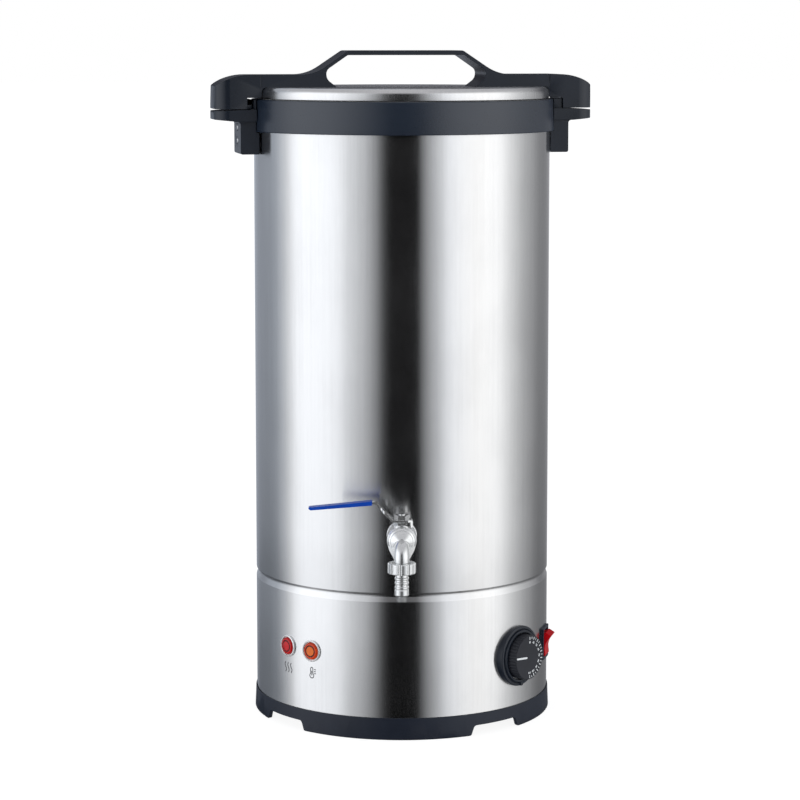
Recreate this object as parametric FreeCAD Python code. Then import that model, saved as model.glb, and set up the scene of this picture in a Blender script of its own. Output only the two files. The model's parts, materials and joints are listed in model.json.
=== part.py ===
import FreeCAD, Part

# An electric brew kettle: a steel vessel on a heating base, with a lock-on lid, a ball-valve tap and a
# thermostat.
#
# Units are millimetres. The origin is on the floor, on the kettle's own axis; +Z is up and the tap faces -Y.
# Wall-mounted pieces are made in a local frame that faces -Y and are then turned to their azimuth, which is
# counted from the tap towards +X.

import math
import os

from FreeCAD import Vector

# ---------------------------------------------------------------- driving dimensions
BODY_R = 150.0            # outside of the steel wall
SHEET = 1.0               # steel sheet thickness
INNER_R = BODY_R - SHEET
BASE_TOP = 21.8           # top edge of the plastic base ring
GROOVE_Z = 143.2          # centre of the rolled groove that seats the vessel floor
BAND_Z = (593.5, 625.5)   # plastic band on the vessel's rim
BAND_R = (154.0, 153.0)   # its outside, bottom and top
LID_R = 149.0
LID_Z = (626.2, 637.5)    # lid skirt's edge and lid's flat top
HANDLE_TURN = 11.0        # the handles' line is turned this far from the tap's square
HANDLE_TOP = 674.0
HANDLE_REACH = 193.6      # handle ends, from the axis
HANDLE_HALF_W = 27.5
BRACKET_HALF_W = 25.0
FLOOR_Z = 148.7           # underside of the vessel floor

TAP_Z = 205.5             # tap axis
BALL_H = 173.0            # ball centre, from the kettle's axis
OUTLET_H = 202.0          # vertical outlet, from the kettle's axis
OUTLET_Z = 182.0          # bottom face of the outlet, where the hose barb seals
ELBOW_DROP = 3.0          # the outlet elbow leaves the body this far below the tap's axis
CONTROL_Z = 72.0          # height of the dial and the switch
KNOB_AZ = 50.5
SWITCH_AZ = 76.0
LAMP_Z = 82.5
RED_LAMP_AZ = -49.2
AMBER_LAMP_AZ = -36.6
GLAND_AZ = 180.0
GLAND_Z = 45.0
GLAND_REACH = 166.0       # outer end of the cable gland, from the axis
BASE_TURN = 38.5          # azimuth of the first notch of the base ring

NUT_R = 13.5              # outside of the tap's union nut

ORIGIN = Vector(0, 0, 0)
UP = Vector(0, 0, 1)
FRONT = Vector(0, -1, 0)
RIGHT = Vector(1, 0, 0)


# ---------------------------------------------------------------- shape helpers
def rounded_wire(points, radii):
    """A closed wire through points, each corner rounded with its own radius (0 leaves it sharp)."""
    count = len(points)
    starts, ends, mids = [], [], []
    for i, (corner, radius) in enumerate(zip(points, radii)):
        to_last = (points[i - 1] - corner).normalize()
        to_next = (points[(i + 1) % count] - corner).normalize()
        half = to_last.getAngle(to_next) / 2
        if radius <= 0 or abs(half - math.pi / 2) < 1e-6:
            starts.append(corner)
            ends.append(corner)
            mids.append(None)
            continue
        reach = radius / math.tan(half)
        middle = (to_last + to_next).normalize()
        starts.append(corner + to_last * reach)
        ends.append(corner + to_next * reach)
        mids.append(corner + middle * (radius / math.sin(half) - radius))
    edges = []
    for i in range(count):
        if mids[i] is not None:
            edges.append(Part.Arc(starts[i], mids[i], ends[i]).toShape())
        if (starts[(i + 1) % count] - ends[i]).Length > 1e-6:
            edges.append(Part.LineSegment(ends[i], starts[(i + 1) % count]).toShape())
    return Part.Wire(edges)


def corners(rows):
    """Splits rows of (a, b) or (a, b, radius) into pairs and radii."""
    return [(row[0], row[1]) for row in rows], [row[2] if len(row) > 2 else 0.0 for row in rows]


def turned(rows, angle=360.0):
    """A solid of revolution about Z from rows of (radius, z) or (radius, z, corner radius)."""
    pairs, radii = corners(rows)
    face = Part.Face(rounded_wire([Vector(r, 0, z) for r, z in pairs], radii))
    return face.revolve(ORIGIN, UP, angle)


def turned_forward(rows, z):
    """A solid of revolution about the forward axis at height z, from rows of (radius, reach)."""
    pairs, radii = corners(rows)
    face = Part.Face(rounded_wire([Vector(r, -reach, z) for r, reach in pairs], radii))
    return face.revolve(Vector(0, 0, z), FRONT, 360)


def side_profile(rows, half_width):
    """An outline of (x, z) rows, extruded to half_width on both sides of the XZ plane."""
    pairs, radii = corners(rows)
    face = Part.Face(rounded_wire([Vector(x, -half_width, z) for x, z in pairs], radii))
    return face.extrude(Vector(0, 2 * half_width, 0))


def plan_profile(rows, z_low, z_high):
    """An outline of (x, y) rows, extruded between two heights."""
    pairs, radii = corners(rows)
    face = Part.Face(rounded_wire([Vector(x, y, z_low) for x, y in pairs], radii))
    return face.extrude(Vector(0, 0, z_high - z_low))


def forward_profile(rows, reach_low, reach_high):
    """An outline of (x, z) rows, extruded between two reaches from the kettle's axis."""
    pairs, radii = corners(rows)
    face = Part.Face(rounded_wire([Vector(x, -reach_low, z) for x, z in pairs], radii))
    return face.extrude(Vector(0, reach_low - reach_high, 0))


def box(x, y, z):
    """A box from three (low, high) pairs."""
    return Part.makeBox(x[1] - x[0], y[1] - y[0], z[1] - z[0], Vector(x[0], y[0], z[0]))


def rod(radius, start, end):
    """A cylinder between two points."""
    start, end = Vector(*start), Vector(*end)
    return Part.makeCylinder(radius, (end - start).Length, start, end - start)


def upright(radius, z_low, z_high, x=0.0, y=0.0):
    return Part.makeCylinder(radius, z_high - z_low, Vector(x, y, z_low))


def tube_ring(inner, outer, z_low, z_high):
    return upright(outer, z_low, z_high).cut(upright(inner, z_low - 1, z_high + 1))


def sector(inner, outer, z_low, z_high, from_deg, to_deg):
    """Part of a ring between two angles, counted from +X towards +Y."""
    rows = [(inner, z_low), (outer, z_low), (outer, z_high), (inner, z_high)]
    piece = turned(rows, to_deg - from_deg)
    piece.rotate(ORIGIN, UP, from_deg)
    return piece


def hexagon(across_flats, thickness, centre, direction):
    """A hexagonal prism that starts at centre and runs along direction."""
    radius = across_flats / math.sqrt(3)
    points = [Vector(radius * math.cos(math.radians(60 * k)), radius * math.sin(math.radians(60 * k)), 0)
              for k in range(6)]
    prism = Part.Face(Part.makePolygon(points + points[:1])).extrude(Vector(0, 0, thickness))
    prism.Placement = FreeCAD.Placement(Vector(*centre), FreeCAD.Rotation(UP, Vector(*direction)))
    return prism


def at_azimuth(shape, azimuth):
    """Turns a piece made facing the front to its azimuth."""
    piece = shape.copy()
    piece.rotate(ORIGIN, UP, azimuth)
    return piece


def opposite(shape):
    return at_azimuth(shape, 180.0)


def strip(points, thickness):
    """Corner points of a bent strip of even thickness along (x, z) points."""
    half = thickness / 2
    left, right = [], []
    for i, (x, z) in enumerate(points):
        before = points[max(i - 1, 0)]
        after = points[min(i + 1, len(points) - 1)]
        first = Vector(x - before[0], 0, z - before[1]) if i else None
        second = Vector(after[0] - x, 0, after[1] - z) if i < len(points) - 1 else None
        directions = [d.normalize() for d in (first, second) if d is not None]
        along = (directions[0] + directions[-1]).normalize()
        normal = Vector(-along.z, 0, along.x)
        grow = half / max(0.2, abs(along.dot(directions[0])))
        left.append((x + normal.x * grow, z + normal.z * grow))
        right.append((x - normal.x * grow, z - normal.z * grow))
    return left + right[::-1]


def routed_tube(points, radius):
    """A tube along straight runs joined by tangent arcs, each as large as its two runs allow."""
    points = [Vector(*p) for p in points]
    edges, start = [], points[0]
    for last, corner, after in zip(points, points[1:], points[2:]):
        to_last, to_next = (last - corner), (after - corner)
        shorter = min(to_last.Length, to_next.Length)
        to_last.normalize()
        to_next.normalize()
        half_turn = (math.pi - to_last.getAngle(to_next)) / 2
        bend = 0.45 * shorter / math.tan(half_turn)
        reach = 0.45 * shorter
        middle = (to_last + to_next).normalize()
        p1, p2 = corner + to_last * reach, corner + to_next * reach
        edges.append(Part.LineSegment(start, p1).toShape())
        mid = corner + middle * (bend / math.cos(half_turn) - bend)
        edges.append(Part.Arc(p1, mid, p2).toShape())
        start = p2
    edges.append(Part.LineSegment(start, points[-1]).toShape())
    path = Part.Wire(edges)
    profile = Part.Wire(Part.makeCircle(radius, points[0], points[1] - points[0]))
    return path.makePipeShell([profile], True, False)


def group(shapes):
    return Part.makeCompound(list(shapes))


# ---------------------------------------------------------------- vessel and rim
SCREW_Z = (584.3, 597.6)     # the two screws of each handle bracket
SHELL_BOTTOM = 13.0
SHELL_TOP = 620.0
GROOVE_DEPTH = 1.9


def handle_side(shape):
    """Both copies of a piece made on +X, turned with the handles."""
    return [at_azimuth(shape, HANDLE_TURN), at_azimuth(shape, HANDLE_TURN + 180)]


def bracket_holes(radius, x_low, x_high):
    holes = [rod(radius, (x_low, 0, z), (x_high, 0, z)) for z in SCREW_Z]
    return [side for hole in holes for side in handle_side(hole)]


def sleeve():
    """The full height of the steel wall, with its rolled groove and its openings."""
    mouth, floor_half = 5.0, 1.0
    groove_r = BODY_R - GROOVE_DEPTH

    def wall(r, bottom_r):
        return [(r, GROOVE_Z - mouth, 1.5), (bottom_r, GROOVE_Z - floor_half, 1.2),
                (bottom_r, GROOVE_Z + floor_half, 1.2), (r, GROOVE_Z + mouth, 1.5)]

    rows = ([(BODY_R, SHELL_BOTTOM)] + wall(BODY_R, groove_r) + [(BODY_R, SHELL_TOP), (INNER_R, SHELL_TOP)]
            + wall(INNER_R, groove_r - SHEET)[::-1] + [(INNER_R, SHELL_BOTTOM)])
    body = turned(rows)
    openings = [
        rod(10.6, (0, -140, TAP_Z), (0, -160, TAP_Z)),
        at_azimuth(rod(4.5, (0, -140, CONTROL_Z), (0, -160, CONTROL_Z)), KNOB_AZ),
        at_azimuth(box((-11.7, 11.7), (-160, -140), (CONTROL_Z - 14.8, CONTROL_Z + 14.8)), SWITCH_AZ),
        at_azimuth(rod(8.2, (0, -140, GLAND_Z), (0, -160, GLAND_Z)), GLAND_AZ),
    ]
    for x in (-THERMOSTAT_SCREW_X, THERMOSTAT_SCREW_X):
        openings.append(at_azimuth(rod(2.2, (x, -140, CONTROL_Z), (x, -160, CONTROL_Z)), KNOB_AZ))
    for azimuth in (RED_LAMP_AZ, AMBER_LAMP_AZ):
        openings.append(at_azimuth(rod(6.6, (0, -140, LAMP_Z), (0, -160, LAMP_Z)), azimuth))
    openings += bracket_holes(2.7, 140, 160)
    return body.cut(openings)


def vessel_wall():
    """The vessel's own wall, from the rim down into the groove."""
    return sleeve().common(upright(BODY_R + 10, GROOVE_Z, SHELL_TOP + 10))


def base_skirt():
    """The sleeve round the heating base, from the groove down; it carries the controls."""
    return sleeve().common(upright(BODY_R + 10, 0, GROOVE_Z))


def vessel_floor():
    """The pressed pan welded in just above the groove."""
    flange_top = FLOOR_Z + 13
    return turned([(0, FLOOR_Z), (INNER_R, FLOOR_Z, 3.0), (INNER_R, flange_top),
                   (INNER_R - SHEET, flange_top), (INNER_R - SHEET, FLOOR_Z + 1.2, 2.0), (0, FLOOR_Z + 1.2)])


def rim_band():
    """The plastic ring that caps the vessel's edge, with a lip inside and outside the wall."""
    low, high = BAND_Z
    ring = turned([(BAND_R[0], low, 0.8), (BAND_R[1], high, 1.2), (146, high, 1.0), (146, 612, 0.8),
                   (148.7, 612, 0.8), (148.7, SHELL_TOP + 1), (150.3, SHELL_TOP + 1), (150.3, low, 0.5)])
    return ring.cut(bracket_holes(2.7, 140, 160))


# ---------------------------------------------------------------- handle brackets
LATCH_R = 163.2              # outer face of the bracket's upright block
LATCH_STEP_Z = 615.2         # top of the flange at its root
TAB_Z = (620.6, 625.3)
RECESS_R = 156.6
SCREW_SEAT = 166.2             # bottom of the screws' recesses


def handle_plan(half_width, z_low, z_high, corner=15.0):
    """Rounded plan outline of one handle end."""
    return plan_profile([(110, -half_width), (HANDLE_REACH, -half_width, corner),
                         (HANDLE_REACH, half_width, corner), (110, half_width)], z_low, z_high)


def bracket():
    """The bracket on +X: a leg down the wall, a flange to grip and a block with the latch's tab and stop."""
    foot_z, leg_x, flange_z = 571.0, 168.0, 603.3
    rows = [(140, foot_z), (leg_x, foot_z, 2.0), (leg_x, flange_z, 3.0), (HANDLE_REACH, 605.6, 1.5),
            (HANDLE_REACH, 614.1, 1.5), (LATCH_R - 8, LATCH_STEP_Z + 0.6), (LATCH_R - 8, TAB_Z[1]),
            (140, TAB_Z[1])]
    whole = side_profile(rows, HANDLE_HALF_W).common(handle_plan(HANDLE_HALF_W, 560, 630))
    for side in (-1, 1):
        y = sorted((side * BRACKET_HALF_W, side * 40))
        whole = whole.cut(box((130, 172), y, (560, flange_z + 0.4)))
        whole = whole.cut(box((130, LATCH_R + 1), y, (LATCH_STEP_Z + 0.2, 630)))
    block = tube_ring(150, LATCH_R, LATCH_STEP_Z - 2, TAB_Z[1]).common(
        box((140, 170), (-BRACKET_HALF_W, BRACKET_HALF_W), (600, 630)))
    whole = whole.fuse(block)
    tab_end, stop = 0.0, -7.9
    whole = whole.cut([
        upright(BODY_R + 1.4, 560, 630),
        upright(BAND_R[0] + 0.35, BAND_Z[0] - 0.7, 630),
        sector(RECESS_R, LATCH_R + 2, LATCH_STEP_Z, TAB_Z[0], stop, 12),
        sector(RECESS_R, LATCH_R + 2, LATCH_STEP_Z, 630, tab_end, 12),
    ])
    for z in SCREW_Z:
        whole = whole.cut([rod(2.7, (140, 0, z), (175, 0, z)), rod(4.0, (SCREW_SEAT, 0, z), (175, 0, z))])
    return whole.removeSplitter()


def bracket_screw(z):
    top = SCREW_SEAT + 2.2
    head = Part.makeCylinder(3.1, top - SCREW_SEAT, Vector(SCREW_SEAT, 0, z), RIGHT)
    slot = box((top - 0.8, top + 0.4), (-2.0, 2.0), (z - 0.45, z + 0.45))
    cross = box((top - 0.8, top + 0.4), (-0.45, 0.45), (z - 2.0, z + 2.0))
    shank = rod(2.4, (144.5, 0, z), (SCREW_SEAT + 0.5, 0, z))
    return head.makeFillet(0.9, [head.Edges[0]]).cut([slot, cross]).fuse(shank)


def bracket_nut(z):
    nut = hexagon(8.0, 3.6, (145.0, 0, z), (1, 0, 0))
    return nut.cut(rod(2.45, (140, 0, z), (150, 0, z)))


# ---------------------------------------------------------------- base
FOOT_H = 10.0


def notch(azimuth):
    half = [(38.0, -3.0), (38.0, 0.0), (30.5, 0.0, 3.0), (26.5, FOOT_H, 4.0)]
    rows = half + [(-row[0], *row[1:]) for row in half[::-1]]
    return at_azimuth(forward_profile(rows, 120, 165), azimuth)


def base_ring():
    """The plastic skirt: four feet between notches and a shelf for the shell and the bottom cover."""
    shelf_r, foot_r = 134.0, 147.5
    ring = turned([(152.0, 0, 1.0), (151.1, BASE_TOP, 0.5), (150.3, BASE_TOP), (150.3, SHELL_BOTTOM),
                   (shelf_r, SHELL_BOTTOM), (shelf_r, FOOT_H), (foot_r, FOOT_H), (foot_r, 0, 1.0)])
    cuts = [notch(BASE_TURN + 90 * k) for k in range(4)]
    cuts += [at_azimuth(upright(2.2, 5, 20, 0, -141), a) for a in BASE_SCREW_AZ]
    return ring.cut(cuts)


BASE_SCREW_AZ = [BASE_TURN + 45 + 90 * k for k in range(4)]
PLATE_T = 1.2


def base_plate():
    """The bottom cover, with rings of cooling slots."""
    plate = upright(148.5, SHELL_BOTTOM, SHELL_BOTTOM + PLATE_T)
    cuts = [at_azimuth(upright(2.05, 5, 20, 0, -141), a) for a in BASE_SCREW_AZ]
    for ring_r, count in ((55.0, 12), (85.0, 18)):
        slot = plan_profile([(-2.5, -ring_r - 9, 2.4), (2.5, -ring_r - 9, 2.4), (2.5, -ring_r + 9, 2.4),
                             (-2.5, -ring_r + 9, 2.4)], 10, 20)
        cuts += [at_azimuth(slot, 360.0 * k / count) for k in range(count)]
    return plate.cut(cuts)


def base_screw(azimuth):
    head = upright(4.0, 7.0, FOOT_H, 0, -141)
    head = head.makeFillet(1.0, [min(head.Edges, key=lambda e: e.BoundBox.ZMax)])
    screw = head.fuse(upright(1.9, FOOT_H - 0.5, 21, 0, -141))
    return at_azimuth(screw.cut(box((-2.6, 2.6), (-141.5, -140.5), (6, 8.2))), azimuth)


# ---------------------------------------------------------------- heater
COIL_R = 72.0
COIL_TUBE_R = 4.2
COIL_Z = FLOOR_Z - 4.5 - COIL_TUBE_R
COIL_GAP_DEG = 50.0
COIL_LEG_Z = 122.0


def heater_plate():
    """The aluminium spreader under the vessel floor."""
    return turned([(0, FLOOR_Z - 4), (95, FLOOR_Z - 4, 1.0), (95, FLOOR_Z), (0, FLOOR_Z)])


def coil_ends():
    """The two places where the heating tube turns down."""
    for side in (-1, 1):
        angle = math.radians(90 + side * COIL_GAP_DEG / 2)
        yield COIL_R * math.cos(angle), COIL_R * math.sin(angle)


def heater_coil():
    """The sheathed heating tube: most of a ring, with both ends turned down."""
    circle = Part.Face(Part.Wire(Part.makeCircle(COIL_TUBE_R, Vector(COIL_R, 0, COIL_Z), Vector(0, 1, 0))))
    coil = circle.revolve(ORIGIN, UP, 360 - COIL_GAP_DEG)
    coil.rotate(ORIGIN, UP, 90 + COIL_GAP_DEG / 2)
    for x, y in coil_ends():
        coil = coil.fuse([Part.makeSphere(COIL_TUBE_R + 0.4, Vector(x, y, COIL_Z)),
                          upright(COIL_TUBE_R, COIL_LEG_Z, COIL_Z, x, y)])
    return coil


def heater_terminals():
    """Ceramic beads with a pin, one at each end of the heating tube."""
    for x, y in coil_ends():
        pin = upright(1.6, COIL_LEG_Z - 16, COIL_LEG_Z, x, y)
        yield upright(3.4, COIL_LEG_Z - 6, COIL_LEG_Z, x, y).fuse(pin)


def boil_dry_cutout():
    """The disc thermostat at the middle of the spreader, with its two blades."""
    top = FLOOR_Z - 4
    body = turned([(0, top - 9), (7.0, top - 9, 1.0), (8.5, top - 5), (8.5, top), (0, top)])
    blades = [box((x - 0.4, x + 0.4), (-3.1, 3.1), (top - 19, top - 8)) for x in (-4.5, 4.5)]
    return body.fuse(blades)


# ---------------------------------------------------------------- thermostat, dial and probe
THERMOSTAT_SCREW_X = 14.0
KNOB_R = 22.3
KNOB_FACE = 165.6            # reach of the knob's face
SPINDLE_R = 3.0
SPINDLE_TIP = 159.4          # reach of the spindle's end


def thermostat():
    """The capillary thermostat behind the dial, with a running bore for its spindle."""
    body = turned_forward([(0, 120), (17.0, 120, 2.0), (17.0, 146.8), (0, 146.8)], CONTROL_Z)
    cuts = [rod(SPINDLE_R + 0.08, (0, -130, CONTROL_Z), (0, -150, CONTROL_Z))]
    cuts += [rod(2.0, (x, -139, CONTROL_Z), (x, -150, CONTROL_Z))
             for x in (-THERMOSTAT_SCREW_X, THERMOSTAT_SCREW_X)]
    blades = [box((x - 0.4, x + 0.4), (-120.5, -111), (CONTROL_Z - 3.1, CONTROL_Z + 3.1)) for x in (-8, 8)]
    return at_azimuth(body.cut(cuts).fuse(blades), KNOB_AZ)


def thermostat_screw(x):
    screw = turned_forward([(0, 139.5), (1.9, 139.5), (1.9, 149.8), (3.5, 149.8), (3.5, 152.0, 0.8),
                            (0, 152.0)], CONTROL_Z)
    screw = screw.cut(box((-2.4, 2.4), (-153, -151.0), (CONTROL_Z - 0.5, CONTROL_Z + 0.5)))
    screw.translate(Vector(x, 0, 0))
    return at_azimuth(screw, KNOB_AZ)


def thermostat_spindle():
    spindle = rod(SPINDLE_R, (0, -131, CONTROL_Z), (0, -SPINDLE_TIP, CONTROL_Z))
    flat = box((-4, 4), (-170, -154.5), (CONTROL_Z + 1.8, CONTROL_Z + 5))
    return at_azimuth(spindle.cut(flat), KNOB_AZ)


def knob_bezel():
    """The ring round the dial: a flange that follows the wall and a raised collar."""
    bore, collar, flange = 23.5, 26.4, 30.3
    ring = turned_forward([(bore, 140), (flange, 140), (flange, 154.0, 1.4), (27.6, 154.6, 0.6),
                           (27.0, 153.6, 0.2), (collar, 153.6, 0.2), (collar, 156.4, 1.0),
                           (bore, 156.4, 0.8)], CONTROL_Z)
    return at_azimuth(ring.cut(upright(BODY_R + 0.05, 0, 140)), KNOB_AZ)


def control_knob():
    """The fluted thermostat knob, with a D-shaped socket for the spindle."""
    back, floor, flute_count = 153.6, KNOB_FACE - 4, 40
    knob = turned_forward([(0, back), (KNOB_R + 0.4, back), (KNOB_R, KNOB_FACE, 1.2), (0, KNOB_FACE)],
                          CONTROL_Z)
    hollow = turned_forward([(6.5, 150), (KNOB_R - 2.6, 150), (KNOB_R - 2.6, floor), (6.5, floor)], CONTROL_Z)
    socket = rod(SPINDLE_R + 0.05, (0, -150, CONTROL_Z), (0, -SPINDLE_TIP - 0.4, CONTROL_Z))
    socket = socket.cut(box((-4, 4), (-170, -154.5), (CONTROL_Z + 1.85, CONTROL_Z + 5)))
    knob = knob.cut([hollow, socket])
    flutes = []
    for k in range(flute_count):
        angle = 2 * math.pi * k / flute_count
        x, z = (KNOB_R + 0.75) * math.cos(angle), (KNOB_R + 0.75) * math.sin(angle)
        flutes.append(rod(0.95, (x, -back + 5, CONTROL_Z + z), (x, -KNOB_FACE + 1.8, CONTROL_Z + z)))
    return at_azimuth(knob.cut(flutes), KNOB_AZ)


def probe():
    """The capillary tube from the thermostat and its bulb, clipped under the heating plate."""
    bulb_z, bulb_y = FLOOR_Z - 7.2, 20.0
    bulb = rod(3.0, (20, bulb_y, bulb_z), (-38, bulb_y, bulb_z))
    turn = math.radians(KNOB_AZ)
    start = Vector(116 * math.sin(turn), -116 * math.cos(turn), CONTROL_Z + 12)
    inward = Vector(-math.sin(turn), math.cos(turn), 0)
    points = [start + inward * -3.95, start + inward * 22, start + inward * 30 + Vector(0, 0, 34),
              Vector(48, -8, bulb_z - 14), Vector(34, bulb_y, bulb_z), Vector(20, bulb_y, bulb_z)]
    return bulb, routed_tube([(p.x, p.y, p.z) for p in points], 1.1)


# ---------------------------------------------------------------- switch, lamps, gland and terminals
PIVOT_H = 149.0
ROCKER_REST = 16.0           # tilt at either end of its travel


def switch_housing():
    """The switch's frame and body, open at the front for the rocker."""
    frame = forward_profile([(-13.1, CONTROL_Z - 16.6, 1.5), (13.1, CONTROL_Z - 16.6, 1.5),
                             (13.1, CONTROL_Z + 16.6, 1.5), (-13.1, CONTROL_Z + 16.6, 1.5)], 140, 152.2)
    frame = frame.cut(upright(BODY_R + 0.05, 0, 140))
    body = box((-11.3, 11.3), (-152, -124), (CONTROL_Z - 14.5, CONTROL_Z + 14.5))
    cavity = box((-10.2, 10.2), (-153, -139), (CONTROL_Z - 13.7, CONTROL_Z + 13.7))
    pivots = rod(1.28, (-12, -PIVOT_H, CONTROL_Z), (12, -PIVOT_H, CONTROL_Z))
    blades = [box((-3.1, 3.1), (-124.5, -114), (CONTROL_Z + z - 0.4, CONTROL_Z + z + 0.4))
              for z in (-8, 0, 8)]
    return at_azimuth(frame.fuse(body).fuse(blades).cut([cavity, pivots]), SWITCH_AZ)


def rocker():
    """The rocker, tilted with its upper end out, on two stub pivots."""
    tip, root, lift, dip = 10.9, 12.7, 7.9, 3.6
    rows = [(lift, tip, 0.5), (dip, 0.0, 14.0), (lift, -tip, 0.5), (1.5, -root), (-7.0, -6.0), (-7.0, 6.0),
            (1.5, root)]
    pairs, radii = corners(rows)
    wire = rounded_wire([Vector(-9.8, -PIVOT_H - out, CONTROL_Z + up) for out, up in pairs], radii)
    body = Part.Face(wire).extrude(Vector(19.6, 0, 0))
    body = body.fuse(rod(1.2, (-11, -PIVOT_H, CONTROL_Z), (11, -PIVOT_H, CONTROL_Z)))
    body.rotate(Vector(0, -PIVOT_H, CONTROL_Z), RIGHT, ROCKER_REST)
    return at_azimuth(body, SWITCH_AZ)


def lamp_lens(azimuth):
    """A domed lamp cap with the stem that passes through the wall."""
    cap = turned_forward([(0, 145), (9.4, 145), (9.4, 151.6, 1.2), (6.6, 153.6, 4.0), (0, 153.6)], LAMP_Z)
    cap = cap.cut(upright(BODY_R + 0.05, 0, 140))
    return at_azimuth(cap.fuse(rod(6.2, (0, -130, LAMP_Z), (0, -151, LAMP_Z))), azimuth)


def lamp_ring(azimuth):
    ring = turned_forward([(9.5, 145), (10.9, 145), (10.9, 151.2, 0.5), (9.5, 152.0, 0.4)], LAMP_Z)
    return at_azimuth(ring.cut(upright(BODY_R + 0.05, 0, 140)), azimuth)


def lamp_clip(azimuth):
    clip = turned_forward([(6.3, 144.5), (9.5, 144.5), (9.5, 148.2), (6.3, 148.2)], LAMP_Z)
    blades = [box((x - 0.4, x + 0.4), (-130, -122), (LAMP_Z - 1.4, LAMP_Z + 1.4)) for x in (-3, 3)]
    return at_azimuth(group([clip]), azimuth), at_azimuth(group(blades), azimuth)


GLAND_BORE_R = 4.3           # where the cord is gripped
GLAND_GRIP = 12.0            # length of that bore, from the outer end
GLAND_INNER = 138.0


def cable_gland():
    """The cord's gland in the rear wall, without a cord."""
    body = turned_forward([(0, GLAND_INNER), (7.9, GLAND_INNER, 0.6), (7.9, 150.3), (11.5, 150.3),
                           (11.5, 153.5, 0.5), (9.6, 154.5), (9.6, 161), (7.4, GLAND_REACH, 1.5),
                           (0, GLAND_REACH)], GLAND_Z)
    flats = hexagon(19.0, 6.0, (0, -154.4, GLAND_Z), (0, -1, 0))
    keep = turned_forward([(0, 130), (30, 130), (30, 154.4), (0, 154.4)], GLAND_Z)
    tip = turned_forward([(0, 160.4), (30, 160.4), (30, 170), (0, 170)], GLAND_Z)
    body = body.common(keep.fuse([flats, tip]))
    grip = rod(GLAND_BORE_R, (0, -130, GLAND_Z), (0, -170, GLAND_Z))
    relief = rod(GLAND_BORE_R + 0.9, (0, -130, GLAND_Z), (0, GLAND_GRIP - GLAND_REACH, GLAND_Z))
    return at_azimuth(body.cut([grip, relief]), GLAND_AZ)


def gland_nut():
    nut = hexagon(20.0, 4.0, (0, -144.2, GLAND_Z), (0, -1, 0))
    return at_azimuth(nut.cut(rod(7.95, (0, -140, GLAND_Z), (0, -155, GLAND_Z))), GLAND_AZ)


TERMINAL_Y = 104.0
TERMINAL_PITCH = 12.0


def terminal_block():
    """A three-way block on the bottom cover, just inside the gland."""
    low, high = SHELL_BOTTOM + PLATE_T, SHELL_BOTTOM + PLATE_T + 20
    block = box((-20, 20), (TERMINAL_Y - 9, TERMINAL_Y + 9), (low, high))
    wells = [upright(2.6, high - 7, high + 1, k * TERMINAL_PITCH, TERMINAL_Y) for k in (-1, 0, 1)]
    slots = [box((k * TERMINAL_PITCH + 5.4, k * TERMINAL_PITCH + 6.6), (TERMINAL_Y - 10, TERMINAL_Y + 10),
                 (high - 4, high + 1)) for k in (-1, 0)]
    return block.cut(wells + slots)


def wiring():
    """Five insulated leads between the terminal block, switch, thermostat, cut-out and heating tube."""
    def spot(azimuth, reach, height, across=0.0):
        turn = math.radians(azimuth)
        return (reach * math.sin(turn) + across * math.cos(turn),
                -reach * math.cos(turn) + across * math.sin(turn), height)

    block_z = SHELL_BOTTOM + PLATE_T + 8
    front = TERMINAL_Y - 9.2
    ends = list(coil_ends())
    pin_z = COIL_LEG_Z - 16
    routes = [
        [(-TERMINAL_PITCH, front, block_z), (-TERMINAL_PITCH, 70, block_z + 2), (-30, 44, 52),
         (ends[1][0] - 6, 52, 84), (ends[1][0], ends[1][1], pin_z - 12), (ends[1][0], ends[1][1], pin_z)],
        [(TERMINAL_PITCH, front, block_z), (TERMINAL_PITCH, 74, block_z + 2), (44, 52, 40), (78, 6, 54),
         spot(SWITCH_AZ, 96, CONTROL_Z - 8), spot(SWITCH_AZ, 113.9, CONTROL_Z - 8)],
        [spot(SWITCH_AZ, 113.9, CONTROL_Z + 8), spot(SWITCH_AZ, 99, CONTROL_Z + 8), (76, -34, CONTROL_Z + 18),
         (66, -50, CONTROL_Z + 8), spot(KNOB_AZ, 101, CONTROL_Z, 8.0), spot(KNOB_AZ, 110.9, CONTROL_Z, 8.0)],
        [spot(KNOB_AZ, 110.9, CONTROL_Z, -8.0), spot(KNOB_AZ, 99, CONTROL_Z, -8.0), (36, -52, 84),
         (10, -16, 98), (4.5, -2, 108), (4.5, 0, FLOOR_Z - 23.2)],
        [(-4.5, 0, FLOOR_Z - 23.2), (-4.5, 2, 108), (-2, 26, 92), (ends[0][0] * 0.5, 48, 84),
         (ends[0][0], ends[0][1], pin_z - 14), (ends[0][0], ends[0][1], pin_z)],
    ]
    return [routed_tube(route, 1.6) for route in routes]


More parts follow.
